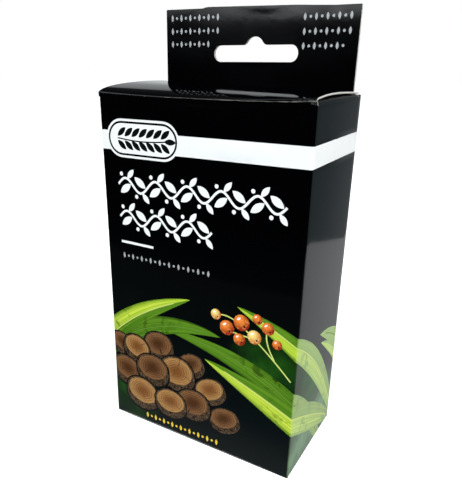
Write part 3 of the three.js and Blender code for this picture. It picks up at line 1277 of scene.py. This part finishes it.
flakes = {
    "smallest": 0.03,
    "largest": 0.1,
    "jitter": 0.12,
    "every": 0.16,  # spacing of the places where a flake may lie
    "reach": 36.5,
    "rows": [(-37.5, 1), (26.0, 3), (30.0, 6)],  # from where on, and how many rows of places
    "rowGap": 0.15,
    "share": 0.75,
    "seed": 3,
    "patch": 260.0,
    "search": (0.0, 3.0, 14),  # where on the lid the crack is looked for, and in how many steps
}


def flakeTree():
    tree = bpy.data.node_groups.new("wornFlakes", "GeometryNodeTree")
    sockets = tree.interface
    sockets.new_socket("Guide", in_out="INPUT", socket_type="NodeSocketGeometry")
    for name in ("Smallest", "Largest", "Jitter", "Share", "Patch"):
        sockets.new_socket(name, in_out="INPUT", socket_type="NodeSocketFloat")
    sockets.new_socket("Seed", in_out="INPUT", socket_type="NodeSocketInt")
    sockets.new_socket("Finish", in_out="INPUT", socket_type="NodeSocketMaterial")
    sockets.new_socket("Flakes", in_out="OUTPUT", socket_type="NodeSocketGeometry")

    def add(kind, inputs=None, **settings):
        node = tree.nodes.new(kind)
        for key, value in settings.items():
            setattr(node, key, value)
        for key, value in (inputs or {}).items():
            if isinstance(value, bpy.types.NodeSocket):
                tree.links.new(value, node.inputs[key])
            else:
                node.inputs[key].default_value = value
        return node

    given = add("NodeGroupInput").outputs
    here = add("GeometryNodeInputPosition").outputs[0]
    seed = given["Seed"]
    patch = add("ShaderNodeTexNoise", {"Vector": here, "Scale": given["Patch"], "Detail": 2.0})
    chance = add("FunctionNodeRandomValue", {"Seed": seed}, data_type="FLOAT")
    weighed = add("ShaderNodeMath", {0: patch.outputs[0], 1: given["Share"]}, operation="MULTIPLY")
    chosen = add("FunctionNodeCompare", {"A": chance.outputs["Value"], "B": weighed.outputs[0]},
                 data_type="FLOAT", operation="LESS_THAN")
    side = add("FunctionNodeRandomValue", {"Seed": seed}, data_type="FLOAT_VECTOR")
    side.inputs["Min"].default_value = (-1, -1, -1)
    shift = add("ShaderNodeVectorMath", {0: side.outputs["Value"], "Scale": given["Jitter"]},
                operation="SCALE")
    scattered = add("GeometryNodeSetPosition",
                    {"Geometry": given["Guide"], "Offset": shift.outputs[0]})
    spin = add("FunctionNodeRandomValue", {"Seed": seed}, data_type="FLOAT_VECTOR")
    spin.inputs["Min"].default_value = (-0.3, -0.3, 0)
    spin.inputs["Max"].default_value = (0.3, 0.3, 2 * math.pi)
    turned = add("FunctionNodeEulerToRotation", {0: spin.outputs["Value"]})
    outward = add("GeometryNodeInputNamedAttribute", {"Name": "outward"}, data_type="FLOAT_VECTOR")
    lying = add("FunctionNodeAlignRotationToVector",
                {"Rotation": turned.outputs[0], "Vector": outward.outputs[0]}, axis="Z")
    size = add("FunctionNodeRandomValue",
               {2: given["Smallest"], 3: given["Largest"], "Seed": seed}, data_type="FLOAT")
    shape = add("ShaderNodeVectorMath", {0: (1.0, 0.55, 0.28), "Scale": size.outputs[1]},
                operation="SCALE")
    chip = add("GeometryNodeMeshIcoSphere", {"Radius": 1.0, "Subdivisions": 1})
    laid = add("GeometryNodeInstanceOnPoints",
               {"Points": scattered.outputs[0], "Selection": chosen.outputs[0],
                "Instance": chip.outputs[0], "Rotation": lying.outputs[0],
                "Scale": shape.outputs[0]})
    real = add("GeometryNodeRealizeInstances", {0: laid.outputs[0]})
    finish = add("GeometryNodeSetMaterial",
                 {"Geometry": real.outputs[0], "Material": given["Finish"]})
    add("NodeGroupOutput", {"Flakes": finish.outputs[0]})
    return tree


flakeNodes = flakeTree()


def wornFlakes(name, spots, finish):
    mesh = bpy.data.meshes.new(name + "Guide")
    mesh.from_pydata([tuple(c * mm for c in place) for place, _ in spots], [], [])
    outward = mesh.attributes.new("outward", "FLOAT_VECTOR", "POINT")
    outward.data.foreach_set("vector", [c for _, normal in spots for c in normal])
    guide = bpy.data.objects.new(name + "Guide", mesh)
    bpy.context.scene.collection.objects.link(guide)
    modifier = guide.modifiers.new("wornFlakes", "NODES")
    modifier.node_group = flakeNodes
    given = {"Smallest": flakes["smallest"] * mm, "Largest": flakes["largest"] * mm,
             "Jitter": flakes["jitter"] * mm, "Share": flakes["share"], "Patch": flakes["patch"],
             "Seed": flakes["seed"], "Finish": finishes[finish]}
    for item in flakeNodes.interface.items_tree:
        if item.name in given:
            modifier[item.identifier] = given[item.name]
    ready = guide.evaluated_get(bpy.context.evaluated_depsgraph_get())
    piece = bpy.data.objects.new(name, bpy.data.meshes.new_from_object(ready))
    bpy.context.scene.collection.objects.link(piece)
    bpy.data.objects.remove(guide)
    print("flaked", name, len(piece.data.polygons), "faces")
    return piece


def surfaceSpot(place, u, v):
    here = Vector(place(u, v, 0.0))
    return tuple(here), (here - Vector(place(u, v, board))).normalized()


def crackSpots():
    found = []
    for x in spaced(-flakes["reach"], flakes["reach"], flakes["every"]):
        level = 1000 * crackAndHighlight["level"] + crackAndHighlight["rise"] * (x - 1000 * crackAndHighlight["lowest"]) ** 2 / 1000
        low, high, halvings = flakes["search"]
        for _ in range(halvings):
            middle = (low + high) / 2
            low, high = (middle, high) if lidPlace(x, middle, 0)[2] < level else (low, middle)
        rows = [count for start, count in flakes["rows"] if x >= start][-1]
        found += [surfaceSpot(lidPlace, x, low + flakes["rowGap"] * k) for k in range(rows)]
    return found


crackFlakes = wornFlakes("creaseFlakes", crackSpots(), "paperFlake")

onCarton = {
    "front_panel": frontPiece,
    "left_side_panel": leftPiece,
    "right_side_panel": rightPiece,
    "inner_back_panel": innerPly,
    "outer_back_panel": outerPly,
    "bottom_outer_flap": outerFlap,
    "bottom_inner_flap": innerFlap,
    "left_bottom_dust_flap": leftFoot,
    "right_bottom_dust_flap": rightFoot,
}
for node, piece in onCarton.items():
    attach(piece, "carton")
    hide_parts(node)
    bareInside = node in ("bottom_inner_flap", "left_bottom_dust_flap", "right_bottom_dust_flap")


def atMm(x, y, z):
    return (x * mm, y * mm, z * mm)


dustLevel = height + dust["crease"]
creased = [
    (lidPiece, "lid_panel", "carton", "lid", atMm(0, front, topEdge),
     atMm(0, front + 0.6, height + 0.5)),
    (tuckPiece, "tuck_flap", "lid", "tuck", atMm(0, 18.3, height + 0.45),
     atMm(0, 19.0, height - 0.6)),
    (leftDust, "left_top_dust_flap", "carton", "left_dust", atMm(-half, 0, topEdge),
     atMm(-half + 0.8, 0, dustLevel)),
    (rightDust, "right_top_dust_flap", "carton", "right_dust", atMm(half, 0, topEdge),
     atMm(half - 0.8, 0, dustLevel)),
]
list(creased[0][2:])
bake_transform(crackFlakes)
for piece, node, still, moving, start, end in creased:
    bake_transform(piece)
    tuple(start)
    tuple(end)
    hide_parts(node)

stage = {
    "floor": (0.84, 0.84, 0.84),
    "floorGrain": (0.825, 0.825, 0.825),
    "floorBounce": (0.43, 0.43, 0.43),
    "floorFront": (0.04, 0.04, 0.04),  # what the floor throws back on the carton
    "floorFill": 0.45,  # light that lifts the floor's shadow to the eye
    # the part of the floor that the board mirrors
    "near": [(-0.2, -0.17), (0.26, -0.17), (0.26, 0.07), (0.06, 0.3), (-0.2, 0.3)],
    "far": 4.0,
    "haze": 1.0,  # brightness of the pale surround that the camera sees
    "hazeSides": 24,
}
# the studio that the board mirrors; four numbers are from, to, and two amounts
studio = {
    "key": 4.6,  # brightness of the big soft light in front and to the left
    "keyFrom": (-0.5, -0.86),
    "keySpread": (0.05, 0.8),
    "keyFoot": (0.3, 0.5),
    "keyTop": (0.7, 0.88, 1.0, 0.0),
    "clouds": 4.6,  # brightness of the uneven band low down in front
    "cloudShape": (0.35, 0.65, 0.5, 1.35),
    "cloudFoot": ((-0.005, 0.04, 0.0, 0.03), (0.068, 0.08, 0.0, 0.97)),
    "cloudTop": (0.1, 0.16, 1.0, 0.0),
    "onceOnly": (1.2, 1.8, 1.0, 0.0),  # the lights in front aren't mirrored twice
    "room": 0.01,
    "rear": (0.1, 0.7),
    "behindLeft": 0.5,
    "leftward": (-0.25, 0.1, 1.0, 0.0),
    "leftFoot": (0.08, 0.18, 1.35, 0.95),
    "leftTop": (0.325, 0.365, 1.0, 0.04),
    "behindRight": 0.215,
    "rightward": (0.2, 0.34, 1.3, 0.7),
    "rightTop": (0.2, 0.5, 1.0, 0.2),
    "zenith": 0.3,
    "zenithFrom": (0.78, 0.94),
    "tints": ((0.96, 1, 1.02), (0.72, 1.0, 1.1)),  # left and right
    "softboxes": [  # name, place, aim, size, power, seen in the gloss
        ("topLight", (-0.1, -0.25, 0.9), (0, 0, 0), (0.8, 0.8), 2.0, False),
        ("frontLight", (-0.25, -0.72, 0.3), (0, 0, 0.07), (0.5, 0.5), 1.2, False),
        ("sideLight", (0.55, -0.12, 0.5), (0.03, 0, 0.06), (0.45, 0.45), 6.0, True),
    ],
}


def stageMesh(name, corners, faces, material):
    mesh = bpy.data.meshes.new(name)
    mesh.from_pydata(corners, [], faces)
    mesh.materials.append(material)
    card = bpy.data.objects.new(name, mesh)
    bpy.context.scene.collection.objects.link(card)
    return card


floorPaint, s = newMaterial("floorPaint")
grain = s.noise(s.place(), 60.0, 2.0, 0.5)
seen = s.wire(s.add("ShaderNodeLightPath"), "Is Camera Ray")
bounce = s.mix(s.ramp(s.axes(s.place())[1], -0.05, 0.0), stage["floorFront"], stage["floorBounce"])
tone = s.mix(seen, bounce, s.mix(grain, stage["floor"], stage["floorGrain"]))
surface = s.add("ShaderNodeBsdfDiffuse", {"Color": tone})
fill = s.add("ShaderNodeEmission", {"Strength": seen * stage["floorFill"]})
both = s.add("ShaderNodeAddShader", {0: s.wire(surface), 1: s.wire(fill)})
s.close(both)
far = stage["far"]
near = [(x, y, 0) for x, y in stage["near"]]
edge = [(-far, -far, -mm), (far, -far, -mm), (far, far, -mm), (-far, far, -mm)]
stageMesh("floor", near, [tuple(range(len(near)))], floorPaint)
floorBeyond = stageMesh("floorBeyond", edge, [(0, 1, 2, 3)], floorPaint)
floorBeyond.visible_glossy = False

hazePaint, s = newMaterial("hazePaint")
glow = s.add("ShaderNodeEmission", {"Strength": stage["haze"]})
s.close(glow)
sides = stage["hazeSides"]
wall = [(far * math.cos(t), far * math.sin(t), z) for z in (-0.01, 2 * far)
        for t in (math.radians(360 / sides * k) for k in range(sides))]
panes = [(k, (k + 1) % sides, sides + (k + 1) % sides, sides + k) for k in range(sides)]
panes.append(tuple(range(sides, 2 * sides)))
haze = stageMesh("haze", wall, panes, hazePaint)
for ray in ("glossy", "diffuse", "shadow", "transmission"):
    setattr(haze, "visible_" + ray, False)

world = bpy.data.worlds.new("studio")
bpy.context.scene.world = world
world.use_nodes = True
world.node_tree.nodes.clear()
s = Shader(world.node_tree)
way = s.wire(s.add("ShaderNodeTexCoord"), "Generated")
wayX, wayY, wayZ = s.axes(way)
keyX, keyY = studio["keyFrom"]
facing = s.ramp(wayX * keyX + wayY * keyY, *studio["keySpread"])
cloud = s.ramp(s.noise(way, 19.0, 3.0, 0.55), *studio["cloudShape"])
faint, strong = studio["cloudFoot"]
lowBand = (s.ramp(wayZ, *faint) + s.ramp(wayZ, *strong)) * s.ramp(wayZ, *studio["cloudTop"])
once = s.ramp(s.wire(s.add("ShaderNodeLightPath"), "Glossy Depth"), *studio["onceOnly"])
high = s.ramp(wayZ, *studio["keyFoot"]) * s.ramp(wayZ, *studio["keyTop"])
lights = high * studio["key"] + lowBand * cloud * studio["clouds"]
lights = lights * facing * once
leftward = s.ramp(wayX, *studio["leftward"])
leftGlow = leftward * s.ramp(wayZ, *studio["leftFoot"]) * s.ramp(wayZ, *studio["leftTop"])
rightGlow = s.ramp(wayX, *studio["rightward"]) * s.ramp(wayZ, *studio["rightTop"])
behind = leftGlow * studio["behindLeft"] + (1 - leftward) * rightGlow * studio["behindRight"]
behind = behind * s.ramp(wayY, *studio["rear"])
zenith = s.ramp(wayZ, *studio["zenithFrom"]) * studio["zenith"]
sky = s.add("ShaderNodeBackground", {"Color": s.mix(s.ramp(wayX, 0.1, 0.5), *studio["tints"])})
s.feed(sky.inputs["Strength"], lights + behind + zenith + studio["room"])
s.close(sky, "ShaderNodeOutputWorld")


def softbox(name, place, aim, size, power, inGloss):
    light = bpy.data.lights.new(name, "AREA")
    light.shape = "RECTANGLE"
    light.size, light.size_y = size
    light.energy = power
    lamp = bpy.data.objects.new(name, light)
    lamp.location = place
    lamp.rotation_euler = (Vector(aim) - Vector(place)).to_track_quat("-Z", "Y").to_euler()
    bpy.context.scene.collection.objects.link(lamp)
    lamp.visible_camera = False
    lamp.visible_glossy = inGloss


for args in studio["softboxes"]:
    softbox(*args)

view = {
    "lens": 39.745,
    "shift": (0.0647, 0.0492),
    "from": (0.08482, -0.15963, 0.13373),
    "turn": (69.084, -0.186, 30.997),
}
camera = bpy.data.cameras.new("camera")
camera.sensor_fit = "AUTO"
camera.sensor_width = 36.0
camera.lens = view["lens"]
camera.shift_x, camera.shift_y = view["shift"]
camera.clip_start = 0.01
eye = bpy.data.objects.new("camera", camera)
eye.location = view["from"]
eye.rotation_euler = tuple(math.radians(turn) for turn in view["turn"])
bpy.context.scene.collection.objects.link(eye)
bpy.context.scene.camera = eye
bpy.context.scene.view_settings.view_transform = "Standard"

print("stage set")
